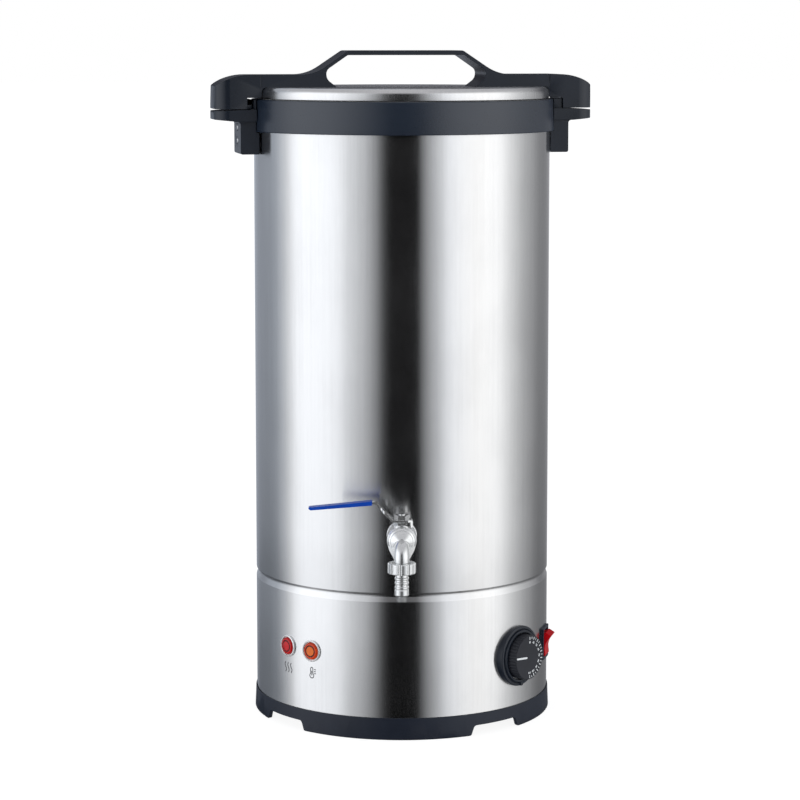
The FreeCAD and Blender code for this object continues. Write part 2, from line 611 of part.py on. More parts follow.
# ---------------------------------------------------------------- tap
def tap_body():
    """The valve body: threaded shank, stepped ball housing, bonnet and the elbow down to the outlet."""
    body = turned_forward([
        (0, 134), (10.3, 134, 1.0), (10.3, 153), (14.6, 153, 0.6), (14.6, 156.5, 0.6), (11.2, 156.5, 1.0),
        (11.2, 160, 1.0), (14.3, 160, 2.0), (14.3, 182.5, 1.2), (12.7, 184.5, 0.6), (12.7, 186.5, 1.0),
        (10.9, 188, 0.6), (10.9, 189.6, 1.0), (9.0, 191.4, 0.6), (4.0, 196.4, 2.0), (0, 196.4)], TAP_Z)
    bend_r = 12.0
    elbow_z = TAP_Z - ELBOW_DROP
    path = Part.Wire([
        Part.LineSegment(Vector(0, -185, elbow_z), Vector(0, -OUTLET_H + bend_r, elbow_z)).toShape(),
        Part.Arc(Vector(0, -OUTLET_H + bend_r, elbow_z),
                 Vector(0, -OUTLET_H + bend_r * (1 - math.sin(math.pi / 4)),
                        elbow_z - bend_r * (1 - math.cos(math.pi / 4))),
                 Vector(0, -OUTLET_H, elbow_z - bend_r)).toShape(),
        Part.LineSegment(Vector(0, -OUTLET_H, elbow_z - bend_r), Vector(0, -OUTLET_H, OUTLET_Z)).toShape(),
    ])

    def pipe(radius):
        circle = Part.Wire(Part.makeCircle(radius, Vector(0, -185, elbow_z), FRONT))
        return path.makePipeShell([circle], True, False)

    bonnet = upright(8.0, TAP_Z, 218.6, 0, -BALL_H).fuse(hexagon(13.6, 3.4, (0, -BALL_H, 218.6), (0, 0, 1)))
    ear_track = tube_ring(8.1, 11.8, EAR_Z - 0.4, 230)
    ear_track.translate(Vector(0, -BALL_H, 0))
    spigot = upright(8.7, OUTLET_Z, 187.2, 0, -OUTLET_H)
    skirt = forward_profile([(-13.4, TAP_Z - 5), (13.4, TAP_Z - 5), (12.0, TAP_Z - 9, 6.0),
                             (7.6, TAP_Z - 14.5), (-7.6, TAP_Z - 14.5), (-12.0, TAP_Z - 9, 6.0)],
                            163.0, 199.0)
    throat = turned_forward([(0, 163), (14.3, 163), (14.3, 180), (7.2, 199), (0, 199)], TAP_Z)
    throat = throat.fuse(plan_profile([(-14.3, -163), (-14.3, -180), (-7.6, -199), (7.6, -199), (14.3, -180),
                                       (14.3, -163)], 180, TAP_Z))
    body = body.fuse([pipe(7.4), bonnet, spigot, skirt.common(throat)])
    return body.cut([
        ear_track,
        rod(5.5, (0, -130, TAP_Z), (0, -187, TAP_Z)),
        rod(10.0, (0, -163.8, TAP_Z), (0, -182.2, TAP_Z)),
        upright(STEM_R + 0.08, TAP_Z, 222, 0, -BALL_H),
        pipe(5.0),
    ]).removeSplitter()


STEM_R = 3.2
LEVER_Z = (222.8, 224.8)


def tap_outer_washer():
    ring = turned_forward([(10.5, 140), (14.8, 140), (14.8, 153, 0.5), (10.5, 153)], TAP_Z)
    return ring.cut(upright(BODY_R, 150, 260))


def tap_inner_washer():
    ring = turned_forward([(10.5, 146.6), (14.5, 146.6, 0.5), (14.5, 160), (10.5, 160)], TAP_Z)
    return ring.common(upright(INNER_R, 150, 260))


def tap_backnut():
    nut = hexagon(27.0, 6.6, (0, -140.0, TAP_Z), (0, -1, 0))
    return nut.cut(rod(10.35, (0, -130, TAP_Z), (0, -150, TAP_Z)))


def ball_seat(side):
    """One of the two plastic seats that hold the ball."""
    near, far = sorted((BALL_H + side * 9.0, BALL_H + side * 5.2))
    ring = turned_forward([(5.7, near), (9.9, near), (9.9, far), (5.7, far)], TAP_Z)
    return ring.cut(Part.makeSphere(9.7, Vector(0, -BALL_H, TAP_Z)))


def valve_ball():
    """The ball, with its bore across the flow, as in the closed tap."""
    ball = Part.makeSphere(9.5, Vector(0, -BALL_H, TAP_Z))
    bore = rod(5.4, (-12, -BALL_H, TAP_Z), (12, -BALL_H, TAP_Z))
    slot = box((-1.3, 1.3), (-BALL_H - 12, -BALL_H + 12), (TAP_Z + 7.2, TAP_Z + 12))
    return ball.cut([bore, slot])


def valve_stem():
    """The stem, keyed into the ball, with a rounded top."""
    key = box((-1.2, 1.2), (-BALL_H - 2.8, -BALL_H + 2.8), (TAP_Z + 7.4, TAP_Z + 10.2))
    stem = upright(STEM_R, TAP_Z + 9.8, 230.0, 0, -BALL_H)
    top = max(stem.Edges, key=lambda edge: edge.BoundBox.ZMin)
    return stem.makeFillet(0.5, [top]).fuse(key)


EAR_Z = 217.4
LEVER_PATH = [(9.6, EAR_Z), (9.6, 223.8), (-8.8, 223.8), (-25.5, 241.3), (-88.0, 235.4)]


def lever():
    """The bent steel lever: a stop ear, a wide eye on the stem, a slope up and a narrower arm."""
    outline = strip(LEVER_PATH, 2.0)
    radii = [0, 0.5, 2.0, 3.0, 0, 0, 3.0, 2.0, 2.4, 0]
    wide = side_profile([(x, z, r) for (x, z), r in zip(outline, radii)], 7.5)
    half = [(10.7, 4.0), (6.5, 7.5, 3.0), (-17.5, 7.5, 2.0), (-19.5, 4.0, 2.0), (-90, 4.0, 3.5)]
    plan = plan_profile(half + [(x, -y, *rest) for x, y, *rest in half[::-1]], 210, 250)
    arm = wide.common(plan).cut(upright(STEM_R + 0.05, 210, 240))
    arm.translate(Vector(0, -BALL_H, 0))
    return arm


def lever_grip(arm):
    """The dipped plastic sleeve on the lever's arm."""
    inner_x, outer_x, half_w = -28.5, -91.5, 5.2
    inner_z, outer_z = 241.0, 235.1
    rows = [(inner_x, inner_z + 2.6, 1.0), (outer_x, outer_z + 1.8, 1.2), (outer_x + 3.4, outer_z - 1.5, 1.2),
            (inner_x, inner_z - 2.6, 1.0)]
    sleeve = side_profile(rows, half_w)
    plan = plan_profile([(inner_x, -half_w, 1.5), (inner_x, half_w, 1.5), (outer_x, half_w, 3.8),
                         (outer_x, -half_w, 3.8)], 210, 250)
    sleeve = sleeve.common(plan)
    sleeve.translate(Vector(0, -BALL_H, 0))
    return sleeve.cut(arm)


def lever_nut():
    nut = hexagon(12.8, 4.4, (0, -BALL_H, LEVER_Z[1]), (0, 0, 1))
    return nut.cut(upright(STEM_R + 0.03, 220, 232, 0, -BALL_H))


def union_nut():
    """The lobed hand nut that holds the hose barb on the outlet."""
    low, lip, high = OUTLET_Z - 4.1, OUTLET_Z - 2.3, 188.0
    nut = turned([(6.5, low), (NUT_R, low, 1.0), (NUT_R, high, 1.0), (8.9, high), (8.9, lip), (6.5, lip)])
    grooves = []
    for k in range(10):
        angle, middle = math.radians(36 * k + 12), NUT_R + 0.5
        grooves.append(upright(1.9, low - 1, high + 1, middle * math.cos(angle), middle * math.sin(angle)))
    nut = nut.cut(grooves)
    nut.translate(Vector(0, -OUTLET_H, 0))
    return nut


BARB_NOSE_Z = (157.0, 161.4)
BARB_R = 6.8


def hose_barb():
    top, bead, valley, pitch = OUTLET_Z - 0.2, 3.0, 6.1, 4.4
    rows = [(4.5, top), (8.7, top), (8.7, top - 1.9), (valley, top - 1.9)]
    for k in (3, 2, 1):
        low = BARB_NOSE_Z[1] + (k - 1) * pitch + 1.2
        rows += [(valley, low + bead), (BARB_R, low + 0.7 * bead, 0.5), (BARB_R, low + 0.3 * bead, 0.5),
                 (valley, low)]
    rows += [(BARB_R, BARB_NOSE_Z[1]), (BARB_R, BARB_NOSE_Z[0]), (6.2, 155.9, 0.4), (4.5, 155.9)]
    barb = turned(rows)
    barb.translate(Vector(0, -OUTLET_H, 0))
    return barb


# ---------------------------------------------------------------- lid
def lid_seal():
    """The silicone ring that sits in the mouth and on the band."""
    flange_z = BAND_Z[1] + 0.25
    return turned([(143, 616, 0.6), (145.6, 616, 0.6), (145.6, flange_z), (147.4, flange_z, 0.4),
                   (147.4, 628.2, 0.8), (143, 628.2, 0.8)])


def lid_pan():
    """The pressed steel lid."""
    edge, top = LID_Z
    return turned([(0, top), (LID_R, top, 5.0), (LID_R, edge), (LID_R - SHEET, edge),
                   (LID_R - SHEET, top - SHEET, 4.0), (0, top - SHEET)])


def lid_plug():
    """The inner pan, which closes the lid from below and enters the mouth."""
    low, flange = 620.0, 628.5
    return turned([(0, low), (142.4, low, 2.5), (142.4, flange), (147.7, flange), (147.7, flange + 1),
                   (141.4, flange + 1), (141.4, low + 1, 1.5), (0, low + 1)])


SHOULDER_Z = 650.0
LID_SCREW_X = 96.0
LID_SCREW_Y = 14.0
HANDLE_UNDER_Z = 627.2


def arm_drafts():
    """The two wedges that narrow the handle upwards between its end blocks."""
    reach, low_w, top_w, out = 148.0, 27.1, 22.9, 40.0
    for side in (-1, 1):
        points = [Vector(-reach, side * y, z) for y, z in ((low_w, LID_Z[1]), (top_w, HANDLE_TOP + 1),
                                                           (out, HANDLE_TOP + 1), (out, LID_Z[1]))]
        yield Part.Face(Part.makePolygon(points + points[:1])).extrude(Vector(2 * reach, 0, 0))


def lid_handle():
    """The moulded handle across the lid: two arms, an arched grip bar and hooked ends over the brackets."""
    slope_x = 94.0
    half = [(58.5, HANDLE_TOP, 6.0), (slope_x, SHOULDER_Z, 45.0), (175.0, SHOULDER_Z, 60.0),
            (192.4, 639.3, 1.5), (HANDLE_REACH, 616.0, 1.5), (155.0, 616.0), (155.0, HANDLE_UNDER_Z),
            (120.0, HANDLE_UNDER_Z)]
    mirrored = [(-row[0], *row[1:]) for row in half[::-1]]
    solid = side_profile(half + mirrored, HANDLE_HALF_W)
    gap_half = [(59.5, 669.3, 4.0), (81.5, 654.4, 7.0), (81.5, 645.5, 9.0), (71.0, LID_Z[1], 3.0),
                (70.5, 600.0)]
    gap = side_profile(gap_half + [(-row[0], *row[1:]) for row in gap_half[::-1]], HANDLE_HALF_W + 5)
    plan = plan_profile([(-HANDLE_REACH, -HANDLE_HALF_W, 15.0), (HANDLE_REACH, -HANDLE_HALF_W, 15.0),
                         (HANDLE_REACH, HANDLE_HALF_W, 15.0), (-HANDLE_REACH, HANDLE_HALF_W, 15.0)], 600, 700)
    solid = solid.common(plan).cut([gap, *arm_drafts()])
    lid_space = turned([(0, LID_Z[1]), (LID_R + 0.4, LID_Z[1], 5.0), (LID_R + 0.4, 600), (0, 600)])
    solid = solid.cut([lid_space, upright(LATCH_R + 0.5, 600, HANDLE_UNDER_Z)])
    hook = sector(RECESS_R + 1.3, LATCH_R + 4, 616.0, 620.1, 0.6, 8.4)
    solid = solid.fuse([hook, opposite(hook)])
    for x in (-LID_SCREW_X, LID_SCREW_X):
        for y in (-LID_SCREW_Y, LID_SCREW_Y):
            solid = solid.cut(upright(2.0, LID_Z[1] - 1, LID_Z[1] + 9, x, y))
    return at_azimuth(solid.removeSplitter(), HANDLE_TURN)


def lid_screw(x, y):
    top = LID_Z[1] - SHEET
    screw = upright(1.9, top - 1, top + 9, x, y).fuse(upright(3.6, top - 2.4, top, x, y))
    return at_azimuth(screw, HANDLE_TURN)


# ---------------------------------------------------------------- export
def make_nodes():
    arm = lever()
    bulb, capillary = probe()
    clips = [lamp_clip(a) for a in (RED_LAMP_AZ, AMBER_LAMP_AZ)]
    pan = lid_pan()
    screw_places = [(x, y) for x in (-LID_SCREW_X, LID_SCREW_X) for y in (-LID_SCREW_Y, LID_SCREW_Y)]
    pan = pan.cut([at_azimuth(upright(2.1, 630, 640, x, y), HANDLE_TURN) for x, y in screw_places])
    left_bracket, right_bracket = handle_side(bracket())[::-1]
    return {
        "vessel_wall": vessel_wall(),
        "base_skirt": base_skirt(),
        "vessel_floor": vessel_floor(),
        "rim_band": rim_band(),
        "left_bracket": left_bracket,
        "right_bracket": right_bracket,
        "bracket_screws": group(s for z in SCREW_Z for s in handle_side(bracket_screw(z))),
        "bracket_nuts": group(s for z in SCREW_Z for s in handle_side(bracket_nut(z))),
        "base_ring": base_ring(),
        "base_plate": base_plate(),
        "base_screws": group(base_screw(a) for a in BASE_SCREW_AZ),
        "heater_plate": heater_plate(),
        "heater_coil": heater_coil(),
        "heater_terminals": group(heater_terminals()),
        "boil_dry_cutout": boil_dry_cutout(),
        "thermostat": thermostat(),
        "thermostat_screws": group(thermostat_screw(x) for x in (-THERMOSTAT_SCREW_X, THERMOSTAT_SCREW_X)),
        "thermostat_spindle": thermostat_spindle(),
        "probe_bulb": bulb,
        "probe_capillary": capillary,
        "knob_bezel": knob_bezel(),
        "control_knob": control_knob(),
        "switch_housing": switch_housing(),
        "switch_rocker": rocker(),
        "boiling_lamp": lamp_lens(RED_LAMP_AZ),
        "warm_lamp": lamp_lens(AMBER_LAMP_AZ),
        "lamp_rings": group(lamp_ring(a) for a in (RED_LAMP_AZ, AMBER_LAMP_AZ)),
        "lamp_clips": group(clip for clip, _ in clips),
        "lamp_blades": group(blades for _, blades in clips),
        "cable_gland": cable_gland(),
        "gland_nut": gland_nut(),
        "terminal_block": terminal_block(),
        "internal_wiring": group(wiring()),
        "tap_body": tap_body(),
        "tap_outer_washer": tap_outer_washer(),
        "tap_inner_washer": tap_inner_washer(),
        "tap_backnut": tap_backnut(),
        "ball_seats": group(ball_seat(side) for side in (-1, 1)),
        "valve_ball": valve_ball(),
        "valve_stem": valve_stem(),
        "tap_lever": arm,
        "lever_grip": lever_grip(arm),
        "lever_nut": lever_nut(),
        "union_nut": union_nut(),
        "hose_barb": hose_barb(),
        "lid_seal": lid_seal(),
        "lid_pan": pan,
        "lid_plug": lid_plug(),
        "lid_handle": lid_handle(),
        "lid_screws": group(lid_screw(x, y) for x, y in screw_places),
    }


def main():
    os.makedirs("parts", exist_ok=True)
    for name, shape in make_nodes().items():
        bad = [i for i, solid in enumerate(shape.Solids) if not solid.isValid() or solid.Volume <= 0]
        print(f"{name:20s} solids {len(shape.Solids)} volume {shape.Volume:12.1f}", "BAD" if bad else "")
        shape.exportStep(f"parts/{name}.step")


main()
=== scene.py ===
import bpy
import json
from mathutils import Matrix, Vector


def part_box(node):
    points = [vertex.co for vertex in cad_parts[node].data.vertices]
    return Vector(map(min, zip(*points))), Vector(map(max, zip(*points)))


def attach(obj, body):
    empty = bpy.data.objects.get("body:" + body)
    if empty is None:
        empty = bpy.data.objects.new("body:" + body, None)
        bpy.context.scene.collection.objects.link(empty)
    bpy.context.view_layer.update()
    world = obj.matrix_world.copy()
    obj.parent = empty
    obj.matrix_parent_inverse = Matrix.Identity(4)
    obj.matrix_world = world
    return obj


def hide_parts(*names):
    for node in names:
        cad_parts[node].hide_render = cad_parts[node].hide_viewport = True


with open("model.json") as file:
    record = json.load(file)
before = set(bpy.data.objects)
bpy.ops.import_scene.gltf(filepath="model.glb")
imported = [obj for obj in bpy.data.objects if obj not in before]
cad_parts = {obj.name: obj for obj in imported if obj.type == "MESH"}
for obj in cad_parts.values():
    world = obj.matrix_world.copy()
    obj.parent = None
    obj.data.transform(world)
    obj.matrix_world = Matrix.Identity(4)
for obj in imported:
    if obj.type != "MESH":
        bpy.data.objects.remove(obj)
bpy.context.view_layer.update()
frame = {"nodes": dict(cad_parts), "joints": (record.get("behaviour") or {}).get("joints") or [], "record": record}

import json
import math

import bmesh
import bpy
from mathutils import Matrix, Vector

MM = 0.001
NODES = frame["nodes"]
JOINTS = {joint["name"]: joint for joint in frame["joints"]}
BODY = {node: body for body, nodes in frame["record"]["behaviour"]["bodies"].items() for node in nodes}
SLOT = {row["node"]: row["material_slot"] for row in frame["record"]["subparts"]}


# ---------------------------------------------------------------- places, all from the frame
def low(node):
    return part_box(node)[0] / MM


def high(node):
    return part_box(node)[1] / MM


def wall_azimuth(node):
    """The azimuth, from the tap towards +X, of a piece that is symmetrical about a line out of the wall."""
    points = [v.co for v in NODES[node].data.vertices]
    return math.atan2(sum(p.x for p in points), -sum(p.y for p in points))


def wall_frame(azimuth, z):
    """Local x along the wall, y up and z outward; z counts from the kettle's axis."""
    s, c = math.sin(azimuth), math.cos(azimuth)
    return Matrix(((c, 0, s, 0), (s, 0, -c, 0), (0, 1, 0, z), (0, 0, 0, 1)))


WALL_R = high("vessel_wall").x
KNOB_PLACE = JOINTS["knob_turn"]["pos_m"]
KNOB_AZ = math.atan2(KNOB_PLACE[0], -KNOB_PLACE[1])
CONTROL_Z = KNOB_PLACE[2] / MM


# ---------------------------------------------------------------- materials
class Tree:
    """A short way to write a shader tree."""

    def __init__(self, owner):
        owner.use_nodes = True
        self.nodes, self.links = owner.node_tree.nodes, owner.node_tree.links
        self.nodes.clear()

    def add(self, kind, at=None, **inputs):
        node = self.nodes.new(kind)
        for key, value in (at or {}).items():
            setattr(node, key, value)
        for key, value in inputs.items():
            socket = node.inputs[int(key[1:])] if key[0] == "_" else node.inputs[key.replace("_", " ")]
            if isinstance(value, bpy.types.NodeSocket):
                self.links.new(value, socket)
            else:
                socket.default_value = value
        return node


def ramp(tree, value, stops, smooth=True):
    node = tree.add("ShaderNodeValToRGB", _0=value)
    node.color_ramp.interpolation = "EASE" if smooth else "LINEAR"
    points = node.color_ramp.elements
    while len(points) < len(stops):
        points.new(0.5)
    for point, (position, shade) in zip(points, stops):
        point.position = position
        point.color = (*shade, 1) if isinstance(shade, tuple) else (shade, shade, shade, 1)
    return node.outputs[0]


def map_range(tree, value, start, end, first, last, kind="LINEAR"):
    return tree.add("ShaderNodeMapRange", {"interpolation_type": kind}, Value=value, From_Min=start,
                    From_Max=end, To_Min=first, To_Max=last).outputs[0]


def arithmetic(tree, operation, *values):
    inputs = {f"_{i}": value for i, value in enumerate(values)}
    return tree.add("ShaderNodeMath", {"operation": operation}, **inputs).outputs[0]


def between(tree, value, lowest, highest):
    """Spreads the middle of a noise, where most of its values lie, over a range."""
    return map_range(tree, value, 0.3, 0.7, lowest, highest)


def noise(tree, scale, stretch=(1, 1, 1), detail=3.0):
    where = tree.add("ShaderNodeTexCoord").outputs["Object"]
    spread = tree.add("ShaderNodeMapping", Vector=where, Scale=stretch).outputs[0]
    return tree.add("ShaderNodeTexNoise", Vector=spread, Scale=scale, Detail=detail,
                    Roughness=0.6).outputs[0]


def finish_material(name, colours, rough, metallic=0.0, grain=900.0, bump=0.02, broad=35.0, edge=0.0,
                    **sockets):
    """A surface whose colour drifts between two shades, with grain in its roughness and relief.

    Where edge is given, the shading rounds the edges by that many millimetres.
    """
    material = bpy.data.materials.new(name)
    tree = Tree(material)
    fine = noise(tree, grain)
    wide = noise(tree, broad, detail=4.0)
    colour = ramp(tree, wide, [(0.3, colours[0]), (0.7, colours[1])])
    relief = {"Height": fine, "Strength": bump, "Distance": 0.4 * MM}
    if edge:
        relief["Normal"] = tree.add("ShaderNodeBevel", {"samples": 6}, Radius=edge * MM).outputs[0]
    normal = tree.add("ShaderNodeBump", **relief).outputs[0]
    mixed = arithmetic(tree, "ADD", between(tree, fine, *rough), between(tree, wide, -0.02, 0.03))
    shader = tree.add("ShaderNodeBsdfPrincipled", Base_Color=colour, Roughness=mixed, Metallic=metallic,
                      Normal=normal, **sockets)
    tree.add("ShaderNodeOutputMaterial", Surface=shader.outputs[0])
    MATERIALS[name] = material


def steel_material(name, colours, rough, anisotropic=0.9):
    """Brushed stainless steel: fine upright grain, broader cloudiness and a stretched reflection."""
    material = bpy.data.materials.new(name)
    tree = Tree(material)
    grain = noise(tree, 1400.0, (1, 1, 0.03))
    lines = noise(tree, 300.0, (1, 1, 0.012))
    cloud = noise(tree, 16.0, (1, 1, 0.6), detail=5.0)
    line_share, quarter_turn = 0.35, 0.25
    shade = arithmetic(tree, "MULTIPLY_ADD", lines, line_share, cloud)
    colour = ramp(tree, shade, [(0.45, colours[0]), (0.85, colours[1])])
    normal = tree.add("ShaderNodeBump", Height=grain, Strength=0.008, Distance=0.1 * MM).outputs[0]
    mixed = arithmetic(tree, "ADD", between(tree, grain, *rough), between(tree, cloud, -0.015, 0.02))
    around = tree.add("ShaderNodeTangent", {"direction_type": "RADIAL", "axis": "Z"}).outputs[0]
    shader = tree.add("ShaderNodeBsdfPrincipled", Base_Color=colour, Roughness=mixed, Metallic=1.0,
                      Normal=normal, Tangent=around, Anisotropic=anisotropic,
                      Anisotropic_Rotation=quarter_turn)
    tree.add("ShaderNodeOutputMaterial", Surface=shader.outputs[0])
    MATERIALS[name] = material


def make_materials():
    steel_material("brushed_steel", ((0.69, 0.69, 0.69), (0.75, 0.75, 0.75)), (0.19, 0.23))
    steel_material("lid_steel", ((0.68, 0.68, 0.68), (0.74, 0.74, 0.74)), (0.21, 0.27), anisotropic=0.2)

    moulded = {"grain": 1400.0, "bump": 0.03, "broad": 18.0}
    finish_material("black_plastic", ((0.009, 0.016, 0.030), (0.012, 0.020, 0.036)), (0.26, 0.34),
                    edge=0.6, Specular_IOR_Level=0.7, **moulded)
    finish_material("arm_black", ((0.008, 0.012, 0.020), (0.011, 0.016, 0.027)), (0.26, 0.34),
                    edge=0.6, Specular_IOR_Level=0.42, **moulded)
    finish_material("base_black", ((0.009, 0.013, 0.024), (0.012, 0.017, 0.030)), (0.34, 0.42),
                    edge=0.4, Specular_IOR_Level=0.28, **moulded)
    finish_material("knob_black", ((0.012, 0.014, 0.020), (0.017, 0.019, 0.027)), (0.42, 0.52),
                    grain=1600.0, bump=0.06, edge=0.3, Specular_IOR_Level=0.4)

    finish_material("zinc_plated", ((0.60, 0.61, 0.62), (0.74, 0.75, 0.76)), (0.22, 0.32), 0.85)
    finish_material("galvanised_sheet", ((0.42, 0.43, 0.45), (0.60, 0.61, 0.62)), (0.34, 0.46), 1.0,
                    grain=300.0, broad=60.0)
    finish_material("cast_aluminium", ((0.50, 0.50, 0.50), (0.62, 0.62, 0.62)), (0.42, 0.58), 1.0,
                    bump=0.15)
    finish_material("heater_sheath", ((0.30, 0.27, 0.24), (0.46, 0.44, 0.42)), (0.26, 0.38), 1.0)
    finish_material("copper", ((0.62, 0.30, 0.18), (0.76, 0.42, 0.28)), (0.24, 0.36), 1.0)
    finish_material("ceramic", ((0.74, 0.72, 0.66), (0.84, 0.83, 0.79)), (0.30, 0.42))
    finish_material("white_plastic", ((0.72, 0.72, 0.70), (0.80, 0.80, 0.78)), (0.34, 0.44))
    finish_material("wire_insulation", ((0.46, 0.13, 0.05), (0.60, 0.20, 0.09)), (0.42, 0.54))

    finish_material("red_switch", ((0.50, 0.001, 0.005), (0.60, 0.002, 0.008)), (0.26, 0.34), bump=0.01,
                    edge=0.35, Specular_IOR_Level=0.2)
    lens = {"bump": 0.005, "Specular_IOR_Level": 0.35}
    finish_material("red_lens", ((0.34, 0.002, 0.003), (0.50, 0.005, 0.006)), (0.10, 0.16), **lens)
    finish_material("amber_lens", ((0.48, 0.030, 0.002), (0.66, 0.060, 0.004)), (0.10, 0.16), **lens)

    finish_material("bright_chrome", ((0.80, 0.81, 0.82), (0.86, 0.87, 0.88)), (0.16, 0.24), 0.6,
                    bump=0.004)
    finish_material("tap_metal", ((0.74, 0.75, 0.75), (0.84, 0.85, 0.85)), (0.14, 0.24), 0.86,
                    grain=1200.0, bump=0.03, edge=0.25)
    finish_material("seal_rubber", ((0.018, 0.018, 0.018), (0.028, 0.028, 0.028)), (0.55, 0.70))
    finish_material("silicone", ((0.58, 0.58, 0.55), (0.68, 0.68, 0.65)), (0.32, 0.44),
                    Subsurface_Weight=0.2, Subsurface_Radius=(0.004, 0.004, 0.004))
    finish_material("blue_grip", ((0.001, 0.046, 0.360), (0.001, 0.066, 0.460)), (0.34, 0.44),
                    grain=500.0, Specular_IOR_Level=0.14)

    finish_material("white_print", ((0.74, 0.78, 0.80), (0.82, 0.85, 0.87)), (0.40, 0.50))
    finish_material("etched_mark", ((0.06, 0.06, 0.065), (0.10, 0.10, 0.11)), (0.45, 0.60), 0.4)
    core = {"bump": 0.01, "Specular_IOR_Level": 0.25}
    finish_material("red_core", ((0.44, 0.010, 0.014), (0.56, 0.02, 0.025)), (0.24, 0.34), **core)
    finish_material("amber_core", ((0.66, 0.13, 0.02), (0.80, 0.20, 0.04)), (0.24, 0.34), **core)
    # Painted shade: the near-black colour of the groove in each lamp's lens stands for the shade in that recess.
    finish_material("shaded_lens_groove", ((0.03, 0.008, 0.010), (0.06, 0.015, 0.018)), (0.2, 0.3))


MATERIALS = {}
make_materials()


# ---------------------------------------------------------------- mesh helpers, all in millimetres
# The thickness of the steel, and the number of steps round a large turned piece.
SHEET = 1.0
ROUND_STEPS = 256


def rounded(points, closed=False):
    """Points (a, b) or (a, b, radius): each corner with a radius becomes a short arc."""
    result, count = [], len(points)
    for i, row in enumerate(points):
        here = Vector(row[:2])
        radius = row[2] if len(row) > 2 else 0.0
        if radius <= 0 or (not closed and i in (0, count - 1)):
            result.append(tuple(here))
            continue
        to_last = (Vector(points[i - 1][:2]) - here).normalized()
        to_next = (Vector(points[(i + 1) % count][:2]) - here).normalized()
        half = to_last.angle(to_next) / 2
        reach = radius / math.tan(half)
        centre = here + (to_last + to_next).normalized() * (radius / math.sin(half))
        start, end = here + to_last * reach - centre, here + to_next * reach - centre
        steps = max(3, int(math.degrees(math.pi - 2 * half) / 12) + 1)
        sweep = start.angle_signed(end)
        for k in range(steps + 1):
            c, s = math.cos(-sweep * k / steps), math.sin(-sweep * k / steps)
            turned = Vector((start.x * c - start.y * s, start.x * s + start.y * c))
            result.append(tuple(centre + turned))
    return result


def add_piece(name, mesh, material, body, replaces=(), smooth=38.0):
    """Puts a finished mesh into the scene on its body."""
    for vertex in mesh.vertices:
        vertex.co *= MM
    piece = bpy.data.objects.new(name, mesh)
    bpy.context.scene.collection.objects.link(piece)
    for entry in material if isinstance(material, list) else [material]:
        mesh.materials.append(MATERIALS[entry])
    mesh.polygons.foreach_set("use_smooth", [True] * len(mesh.polygons))
    mesh.set_sharp_from_angle(angle=math.radians(smooth))
    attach(piece, body)
    if replaces:
        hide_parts(*replaces)
    return piece


def lathe_mesh(profile, segments, place=None, closed=False, wobble=None):
    """A turned form about local Z from rows (radius, height[, corner radius])."""
    points = rounded(profile, closed)
    form = bmesh.new()
    rings = []
    for radius, height in points:
        if radius < 1e-4:
            rings.append([form.verts.new((0, 0, height))])
            continue
        ring = []
        for k in range(segments):
            theta = 2 * math.pi * k / segments
            r = wobble(theta, radius, height) if wobble else radius
            ring.append(form.verts.new((r * math.cos(theta), r * math.sin(theta), height)))
        rings.append(ring)
    pairs = list(zip(rings, rings[1:])) + ([(rings[-1], rings[0])] if closed else [])
    for first, second in pairs:
        for k in range(segments):
            n = (k + 1) % segments
            corners = [first[k % len(first)], first[n % len(first)],
                       second[n % len(second)], second[k % len(second)]]
            unique = list(dict.fromkeys(corners))
            if len(unique) > 2:
                form.faces.new(unique)
    bmesh.ops.recalc_face_normals(form, faces=form.faces)
    if place:
        form.transform(place)
    mesh = bpy.data.meshes.new("turned")
    form.to_mesh(mesh)
    form.free()
    return mesh


def prism(form, outline, z_low, z_high, place):
    """Adds a prism of a closed outline, upright in its place, to a bmesh."""
    bottom = [form.verts.new((x, y, z_low)) for x, y in outline]
    top = [form.verts.new((x, y, z_high)) for x, y in outline]
    form.faces.new(bottom[::-1])
    form.faces.new(top)
    for k in range(len(outline)):
        n = (k + 1) % len(outline)
        form.faces.new((bottom[k], bottom[n], top[n], top[k]))
    for vertex in bottom + top:
        vertex.co = place @ vertex.co


def to_mesh(form):
    bmesh.ops.recalc_face_normals(form, faces=form.faces)
    mesh = bpy.data.meshes.new("form")
    form.to_mesh(mesh)
    form.free()
    return mesh


def refined(node, name, width, segments=3, material=None):
    """A copy of a CAD piece with its edges rounded, in place of the sharp one."""
    form = bmesh.new()
    form.from_mesh(NODES[node].data)
    bmesh.ops.remove_doubles(form, verts=form.verts, dist=1e-6)
    bmesh.ops.dissolve_limit(form, angle_limit=math.radians(1.0), verts=form.verts, edges=form.edges)
    form.transform(Matrix.Scale(1 / MM, 4))
    piece = add_piece(name, to_mesh(form), material or SLOT[node], BODY[node], [node])
    bevel = piece.modifiers.new("bevel", "BEVEL")
    bevel.width = width * MM
    bevel.segments = segments
    bevel.limit_method = "ANGLE"
    bevel.angle_limit = math.radians(32.0)
    bevel.harden_normals = True
    bevel.use_clamp_overlap = True
    return piece


def grip():
    """The lever's sleeve with soft edges, slimmer than the CAD one about its own sloping middle line."""
    piece = refined("lever_grip", "grip_sleeve", 1.2, 4)
    lo, hi = low("lever_grip"), high("lever_grip")
    half, slimmer = 2.6, 0.78
    slope = (hi.z - lo.z - 2 * half) / (hi.x - lo.x)
    for vertex in piece.data.vertices:
        middle = (lo.z + half + (vertex.co.x / MM - lo.x) * slope) * MM
        vertex.co.z = middle + (vertex.co.z - middle) * slimmer


